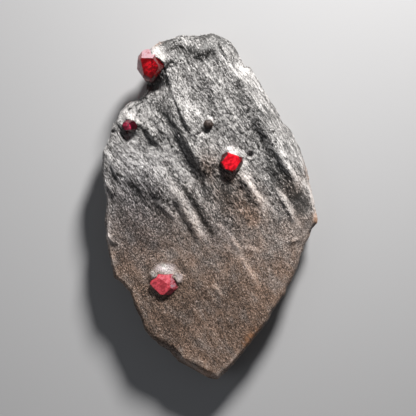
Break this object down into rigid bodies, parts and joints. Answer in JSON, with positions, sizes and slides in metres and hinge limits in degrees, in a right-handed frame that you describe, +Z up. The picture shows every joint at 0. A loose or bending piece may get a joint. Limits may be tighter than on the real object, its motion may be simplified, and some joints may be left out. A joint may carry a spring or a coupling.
{
  "type": "garnet in matrix",
  "caption": "Loose mineral specimen: a flat tapering slab of silvery graphite schist with red garnet crystals grown into its front face, lying on its back.",
  "frame": {"origin": "under the middle of the specimen's box, on the surface it rests on, at the flat cleavage plane of its back", "axes": "+Z up, out of the front face that carries the garnets; +Y towards the blunt end with the largest garnet; +X to the right seen from the front"},
  "size_m": [0.0648, 0.1044, 0.0155],
  "materials": {
    "schist": "natural broken graphite schist, silvery and finely flaky",
    "garnet_clear": "natural crystal faces, glossy deep red",
    "garnet_frosted": "natural crystal faces, partly etched and frosted pinkish red",
    "garnet_coated": "dark crystal coated with graphite"
  },
  "bodies": {
    "root": {"graphite_matrix": "schist", "garnet_top": "garnet_clear", "garnet_small": "garnet_clear", "garnet_middle": "garnet_clear", "garnet_bottom": "garnet_frosted", "garnet_dark": "garnet_coated"}
  },
  "joints": []
}
